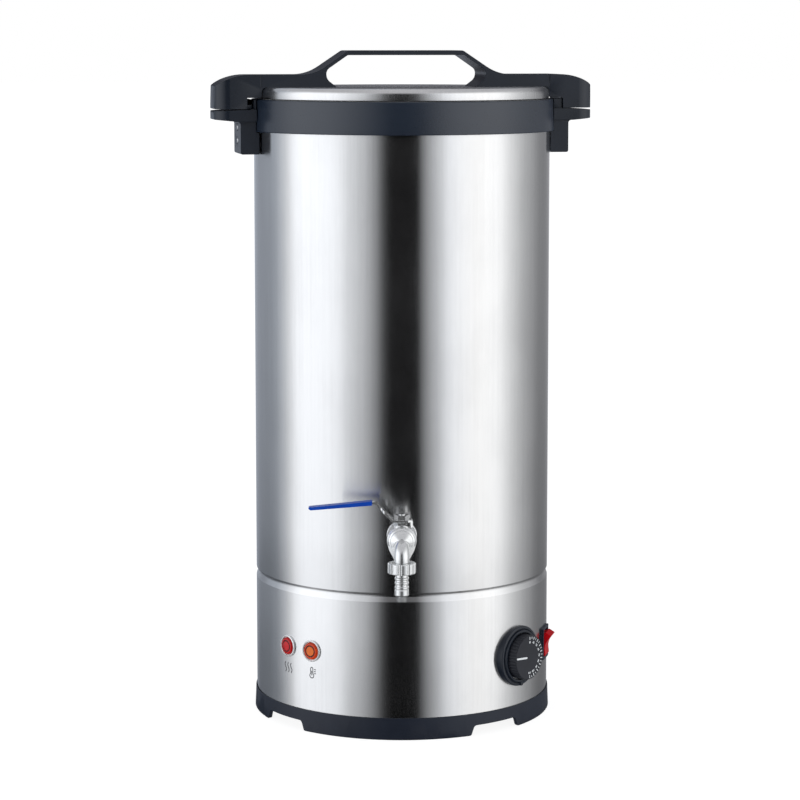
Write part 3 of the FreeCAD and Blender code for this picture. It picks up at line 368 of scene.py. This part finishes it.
# ---------------------------------------------------------------- steel
def steel_wall():
    """The sleeve: a smooth wall with its rolled groove."""
    lo, hi = low("base_skirt"), high("vessel_wall")
    groove = high("base_skirt").z
    bottom_r = WALL_R - 1.9
    inner = WALL_R - SHEET
    outer = [(WALL_R, lo.z), (WALL_R, groove - 5.4, 2.5), (bottom_r, groove - 0.4, 1.0),
             (bottom_r, groove + 1.2, 0.7), (WALL_R, groove + 3.4, 1.2), (WALL_R, hi.z)]
    back = [(r - SHEET, z, *rest) for r, z, *rest in outer[1:-1]][::-1]
    # These rows only divide the tall wall above the groove.
    rows = [(WALL_R, z) for z in (200.0, 300.0, 400.0, 500.0)]
    profile = outer[:-1] + rows + outer[-1:] + [(inner, hi.z)] + back + [(inner, lo.z)]
    add_piece("steel_wall", lathe_mesh(profile, ROUND_STEPS, closed=True), "brushed_steel", "kettle",
              ["vessel_wall", "base_skirt"])


def lid_top():
    lo, hi = low("lid_pan"), high("lid_pan")
    profile = [(0, hi.z), (40, hi.z), (90, hi.z), (hi.x, hi.z, 6.0), (hi.x, lo.z, 0.4),
               (hi.x - SHEET, lo.z, 0.4), (hi.x - SHEET, hi.z - SHEET, 4.0), (0, hi.z - SHEET)]
    add_piece("lid_top", lathe_mesh(profile, ROUND_STEPS), "lid_steel", "lid", ["lid_pan"])


# ---------------------------------------------------------------- plastics
def rim():
    """The band over the wall's top edge, which sits in a slot between the band's two skirts."""
    lo, hi = low("rim_band"), high("rim_band")
    mouth, foot = 146, 612
    slot_inner, slot_outer, slot_top = 148.7, 150.3, 621
    profile = [(hi.x, lo.z, 0.9), (hi.x - 1.0, hi.z, 1.4), (mouth, hi.z, 1.0), (mouth, foot, 0.8),
               (slot_inner, foot, 0.8), (slot_inner, slot_top), (slot_outer, slot_top),
               (slot_outer, lo.z, 0.5)]
    add_piece("rim_moulding", lathe_mesh(profile, ROUND_STEPS, closed=True), "black_plastic", "kettle",
              ["rim_band"])


def knob_number(place, face, text, angle):
    """One printed number, its top outward, as a mesh in the knob's place."""
    curve = bpy.data.curves.new("number", "FONT")
    curve.body = text
    curve.size = 2.9
    curve.align_x = "CENTER"
    curve.align_y = "CENTER"
    curve.extrude = 0.08
    curve.offset = 0.06
    holder = bpy.data.objects.new("number", curve)
    letters = bpy.data.meshes.new_from_object(holder)
    ring = 15.4
    spot = Matrix.Translation((ring * math.cos(angle), ring * math.sin(angle), face + 0.02))
    letters.transform(place @ spot @ Matrix.Rotation(angle - math.pi / 2, 4, "Z"))
    bpy.data.objects.remove(holder)
    return letters


def knob_marks(place, face):
    """Pointer, ticks and numbers, standing a hair above the knob's face."""
    form = bmesh.new()
    base, top = face - 0.05, face + 0.12

    def round_end(middle, start):
        angles = [math.radians(start + 15 * k) for k in range(13)]
        return [(middle + 0.9 * math.cos(a), 0.9 * math.sin(a)) for a in angles]

    pointer = round_end(-20.6, 90) + round_end(-5.4, -90)
    prism(form, pointer, base, face + 0.45, place @ Matrix.Rotation(math.radians(-5.5), 4, "Z"))
    outer = 21.0
    for k in range(19):
        inner, half = (18.0, 0.40) if k % 2 == 0 else (18.8, 0.3)
        spin = Matrix.Rotation(math.radians(90 - 10 * k), 4, "Z")
        prism(form, [(inner, -half), (outer, -half), (outer, half), (inner, half)], base, top,
              place @ spin)
    for k in range(9):
        letters = knob_number(place, face, str(30 + 10 * k), math.radians(90 - 22.5 * k))
        form.from_mesh(letters)
        bpy.data.meshes.remove(letters)
    add_piece("knob_marks", to_mesh(form), "white_print", "knob")


def knob():
    """The fluted knob and its printed face."""
    place = wall_frame(KNOB_AZ, CONTROL_Z)
    face, back, outer = 165.6, 153.6, 22.3
    printed, skirt, hub, bore = face - 0.1, outer - 2.6, 6.5, 3.1
    flutes, flute_depth = 40, 0.55

    def fluted(theta, radius, height):
        if radius < outer - 1.0 or height > face - 1.0:
            return radius
        wave = 0.5 - 0.5 * math.cos(flutes * theta)
        return radius - flute_depth * wave ** 2

    profile = [(0, printed), (12, printed), (outer - 1.2, printed, 0.2), (outer - 0.9, face, 0.2),
               (outer - 0.2, face, 0.5), (outer - 0.1, face - 1.6), (outer - 0.05, face - 2.0),
               (outer, face - 5), (outer + 0.2, face - 8), (outer + 0.4, back, 0.5), (skirt, back, 0.3),
               (skirt, face - 4), (hub, face - 4), (hub, back + 0.5), (bore, back + 0.5),
               (bore, face - 5)]
    mesh = lathe_mesh(profile, 480, place, wobble=fluted)
    add_piece("knob_moulding", mesh, "knob_black", "knob", ["control_knob"], smooth=50)
    knob_marks(place, face - 0.05)


def knob_ring():
    """The bezel round the knob, with a small index block at its lower edge."""
    place = wall_frame(KNOB_AZ, CONTROL_Z)
    bore, rib, flange = 23.5, 26.2, 30.3
    profile = [(bore, 146), (bore, 156.4, 0.7), (rib, 156.4, 0.9), (26.5, 153.6, 0.2), (27.0, 153.6, 0.2),
               (27.5, 154.6, 0.5), (flange, 154.0, 1.3), (flange, 144)]
    mesh = lathe_mesh(profile, 160, place)
    form = bmesh.new()
    form.from_mesh(mesh)
    half, low_end, high_end = 1.6, -29.9, -26.0
    block = [(-half, low_end), (half, low_end), (half, high_end), (-half, high_end)]
    prism(form, block, 152, 156.0, place)
    add_piece("knob_ring", to_mesh(form), "arm_black", "kettle", ["knob_bezel"])


# ---------------------------------------------------------------- lamps and their signs
def lamp(node, name, lens, core):
    """A low lens on a thin pale flange, with painted shade, a near-black colour, in the groove round its middle.
    """
    place = wall_frame(wall_azimuth(node), (low(node).z + high(node).z) / 2)
    profile = [(6.2, 130), (6.2, 146), (9.3, 146), (9.3, 150.4, 0.2), (8.7, 150.5, 0.1), (8.6, 150.5),
               (8.6, 151.4, 0.8), (7.4, 152.6, 1.0), (6.0, 152.9, 0.3), (5.6, 152.2, 0.3),
               (5.0, 152.2, 0.3), (4.6, 153.0, 0.5), (0, 153.6)]
    lens_r, groove_r, core_r, front = 8.62, 5.9, 4.7, 151.5
    mesh = lathe_mesh(profile, 96, place)
    finishes = [lens, core, "shaded_lens_groove", "white_plastic"]
    add_piece(name, mesh, finishes, "kettle", [node])
    out = place.to_3x3() @ Vector((0, 0, 1))
    for face in mesh.polygons:
        point = face.center / MM - place.translation
        depth = point.dot(out)
        radius = (point - out * depth).length
        if radius > lens_r:
            face.material_index = finishes.index("white_plastic")
        elif depth > front and radius < core_r:
            face.material_index = finishes.index(core)
        # The groove's faces take the painted shade.
        elif depth > front and radius < groove_r:
            face.material_index = finishes.index("shaded_lens_groove")


def sign(name, azimuth, z, strokes):
    """A small etched picture that follows the wall, from strokes of (across, up) points."""
    form = bmesh.new()
    half, foot, head = 0.42, WALL_R - 0.05, WALL_R + 0.12
    for stroke in strokes:
        rows = []
        for i, (u, v) in enumerate(stroke):
            before, after = stroke[max(i - 1, 0)], stroke[min(i + 1, len(stroke) - 1)]
            along = Vector((after[0] - before[0], after[1] - before[1])).normalized()
            side = Vector((-along.y, along.x)) * half
            quad = []
            for sign_side, radius in ((1, foot), (1, head), (-1, head), (-1, foot)):
                turn = azimuth + (u + sign_side * side.x) / WALL_R
                quad.append(form.verts.new((radius * math.sin(turn), -radius * math.cos(turn),
                                            z + v + sign_side * side.y)))
            rows.append(quad)
        for first, second in zip(rows, rows[1:]):
            for k in range(4):
                form.faces.new((first[k], first[(k + 1) % 4], second[(k + 1) % 4], second[k]))
        form.faces.new(rows[0])
        form.faces.new(rows[-1][::-1])
    add_piece(name, to_mesh(form), "etched_mark", "kettle")


def lamp_signs():
    """Three rising waves under the red lamp and a bulb thermometer under the amber one."""
    sign_z = 60.5
    waves = [[(x + 1.1 * math.sin(2 * math.pi * t / 12), -4.9 + 0.82 * t) for t in range(13)]
             for x in (-4.4, 0, 4.4)]
    sign("boil_sign", wall_azimuth("boiling_lamp"), sign_z, waves)
    tube_half, bulb_r, bulb_z = 1.4, 2.5, -3.0
    arc = [math.radians(a) for a in range(180, -1, -20)]
    tube_end = [(tube_half * math.cos(a), 3.9 + tube_half * math.sin(a)) for a in arc]
    outline = [(-tube_half, -0.9), *tube_end, (tube_half, -0.9)]
    turns = [math.radians(a) for a in range(-324, -35, 16)]
    bulb = [(bulb_r * math.sin(a), bulb_z + bulb_r * math.cos(a)) for a in turns]
    ticks = [[(3.0, h), (5.0, h)] for h in (3.4, 1.4, -0.6)]
    sign("warm_sign", wall_azimuth("warm_lamp"), sign_z, [outline, bulb, [(0, bulb_z), (0, 1.8)], *ticks])


# ---------------------------------------------------------------- studio
# Brightness of the surroundings by azimuth: a soft light on each side and a dark screen behind the camera.
# Most of these numbers, and the tints below, come from comparing the photograph's tones with a render's.
# report.md says which, and that they break the rule on such tables.
SURROUNDINGS = [(-180, 0.75), (-148, 0.42), (-128, 0.43), (-108, 0.73), (-98, 1.05), (-80, 1.50),
                (-60, 1.46), (-42, 1.08), (-30, 0.81), (-20, 0.43), (-10, 0.02), (-9, 0.01), (13, 0.01),
                (14, 0.15), (30, 0.93), (45, 1.38), (72, 1.48), (88, 1.20), (100, 0.86), (120, 0.50),
                (147, 0.31), (180, 0.75)]
# Their tint by azimuth, cooler on the left.
TINTS = [(-180, (0.79, 0.86, 1.0)), (-118, (0.80, 0.87, 0.98)), (-98, (0.845, 0.865, 0.90)),
         (35, (0.845, 0.865, 0.90)), (60, (0.862, 0.862, 0.862)), (110, (0.85, 0.862, 0.88)),
         (180, (0.855, 0.862, 0.92))]
STUDIO_STRENGTH = 1.16


def side_brightness(tree, share, brightest):
    """A smooth curve through SURROUNDINGS, as shares of the brightest."""
    level = tree.add("ShaderNodeFloatCurve", _1=share)
    curve = level.mapping.curves[0]
    while len(curve.points) < len(SURROUNDINGS):
        curve.points.new(0.5, 0.5)
    for point, (degrees, shade) in zip(curve.points, SURROUNDINGS):
        point.location = (degrees / 360 + 0.5, shade / brightest)
        point.handle_type = "AUTO_CLAMPED"
    level.mapping.update()
    return level.outputs[0]


def darker_below(tree, share, height, level, brightest):
    """Lower down the surroundings grow darker, most where they are dark already."""
    sink = map_range(tree, height, -0.03, -0.26, 0.0, 1.0)
    # Below the groove they darken again, except at the back and behind on the right.
    skirt = map_range(tree, height, -0.206, -0.222, 0.0, 0.48, "SMOOTHSTEP")
    deep = map_range(tree, height, -0.215, -0.26, 0.0, 0.20)
    fade = [(0.0, 0.2), (0.04, 0.2), (0.08, 1.0), (0.73, 1.0), (0.81, 0.15)]
    reach = ramp(tree, share, fade, smooth=False)
    extra = arithmetic(tree, "MULTIPLY", arithmetic(tree, "ADD", skirt, deep), reach)
    contrast = arithmetic(tree, "ADD", arithmetic(tree, "MULTIPLY_ADD", sink, 0.30, 1.0), extra)
    bent = arithmetic(tree, "POWER", level, contrast)
    fall = arithmetic(tree, "MULTIPLY_ADD", extra, -0.22,
                      arithmetic(tree, "MULTIPLY_ADD", sink, -0.16, 1.0))
    shade = arithmetic(tree, "MULTIPLY", bent, arithmetic(tree, "MULTIPLY", fall, brightest))
    # Steeply below they are nearly black.
    pit = map_range(tree, height, -0.48, -0.85, 1.0, 0.08, "SMOOTHSTEP")
    return arithmetic(tree, "MULTIPLY", shade, pit)


def overhead(tree, share, height, around):
    """A plain grey dome, and a dark band low at the back that only the level tops mirror."""
    lifted = map_range(tree, height, 0.35, 0.80, 0.0, 1.0, "SMOOTHSTEP")
    dome = tree.add("ShaderNodeMixRGB", _0=lifted, _1=around, _2=(0.50, 0.50, 0.52, 1)).outputs[0]
    back = ramp(tree, share, [(0.0, 1.0), (0.09, 1.0), (0.14, 0.0), (0.86, 0.0), (0.91, 1.0)], smooth=False)
    above = ramp(tree, height, [(0.0, 0.0), (0.015, 1.0), (0.30, 1.0), (0.45, 0.0)], smooth=False)
    dark = arithmetic(tree, "MULTIPLY", back, above)
    return tree.add("ShaderNodeMixRGB", _0=dark, _1=dome, _2=(0.06, 0.06, 0.07, 1)).outputs[0]


def studio():
    """Surroundings that light the kettle; the camera itself sees plain white."""
    world = bpy.data.worlds.new("studio")
    bpy.context.scene.world = world
    tree = Tree(world)
    ray = tree.add("ShaderNodeTexCoord").outputs["Generated"]
    across, along, height = tree.add("ShaderNodeSeparateXYZ", Vector=ray).outputs
    turn = arithmetic(tree, "ARCTAN2", across, arithmetic(tree, "MULTIPLY", along, -1.0))
    share = arithmetic(tree, "MULTIPLY_ADD", turn, 0.5 / math.pi, 0.5)
    brightest = max(shade for _, shade in SURROUNDINGS)
    level = side_brightness(tree, share, brightest)
    grey = darker_below(tree, share, height, level, brightest)
    tint = ramp(tree, share, [(degrees / 360 + 0.5, colour) for degrees, colour in TINTS], smooth=False)
    around = tree.add("ShaderNodeMixRGB", {"blend_type": "MULTIPLY"}, _0=1.0, _1=grey, _2=tint).outputs[0]
    sky = overhead(tree, share, height, around)
    seen = tree.add("ShaderNodeLightPath").outputs["Is Camera Ray"]
    lit = tree.add("ShaderNodeBackground", Color=sky, Strength=STUDIO_STRENGTH)
    plain = tree.add("ShaderNodeBackground", Color=(1, 1, 1, 1), Strength=1.0)
    mixed = tree.add("ShaderNodeMixShader", _0=seen, _1=lit.outputs[0], _2=plain.outputs[0])
    tree.add("ShaderNodeOutputWorld", Surface=mixed.outputs[0])
    bpy.context.scene.view_settings.view_transform = "Standard"


def floor():
    """A pale floor that stays out of the steel's reflections."""
    form = bmesh.new()
    bmesh.ops.create_circle(form, cap_ends=True, segments=96, radius=40.0)
    mesh = bpy.data.meshes.new("floor")
    form.to_mesh(mesh)
    form.free()
    material = bpy.data.materials.new("floor")
    tree = Tree(material)
    paper = tree.add("ShaderNodeBsdfDiffuse", Color=(0.25, 0.25, 0.25, 1))
    glow = tree.add("ShaderNodeEmission", Color=(1, 1, 1, 1), Strength=0.90)
    both = tree.add("ShaderNodeAddShader", _0=paper.outputs[0], _1=glow.outputs[0])
    tree.add("ShaderNodeOutputMaterial", Surface=both.outputs[0])
    mesh.materials.append(material)
    ground = bpy.data.objects.new("floor", mesh)
    bpy.context.scene.collection.objects.link(ground)
    ground.visible_glossy = False
    ground.location.z = -0.0002


def camera():
    """The photograph's camera, from a fit to the kettle's circles, as a tilt and a small shift."""
    data = bpy.data.cameras.new("camera")
    data.lens, data.sensor_width = 116.37, 36.0
    data.shift_y = -0.076
    data.shift_x = -0.00224
    data.clip_start, data.clip_end = 0.05, 50.0
    eye = bpy.data.objects.new("camera", data)
    bpy.context.scene.collection.objects.link(eye)
    eye.location = (0, -2.633, 0.68344)
    eye.rotation_euler = (math.radians(90 - 6.58), 0, 0)
    bpy.context.scene.camera = eye


def dress_cad_pieces():
    """Gives every CAD piece that is still seen its own slot's material."""
    for name, node in NODES.items():
        if node.hide_render:
            continue
        node.data.materials.clear()
        node.data.materials.append(MATERIALS[SLOT[name]])


def main():
    steel_wall()
    lid_top()
    rim()
    refined("lid_handle", "handle_moulding", 1.3, material="arm_black")
    refined("left_bracket", "left_bracket_moulding", 0.9, material="arm_black")
    refined("right_bracket", "right_bracket_moulding", 0.9, material="arm_black")
    refined("base_ring", "base_moulding", 1.0, material="base_black")
    knob()
    knob_ring()
    refined("switch_rocker", "rocker_moulding", 0.5)
    refined("switch_housing", "switch_frame", 0.4)
    grip()
    lamp("boiling_lamp", "red_lamp_lens", "red_lens", "red_core")
    lamp("warm_lamp", "amber_lamp_lens", "amber_lens", "amber_core")
    lamp_signs()
    dress_cad_pieces()
    studio()
    floor()
    camera()


main()
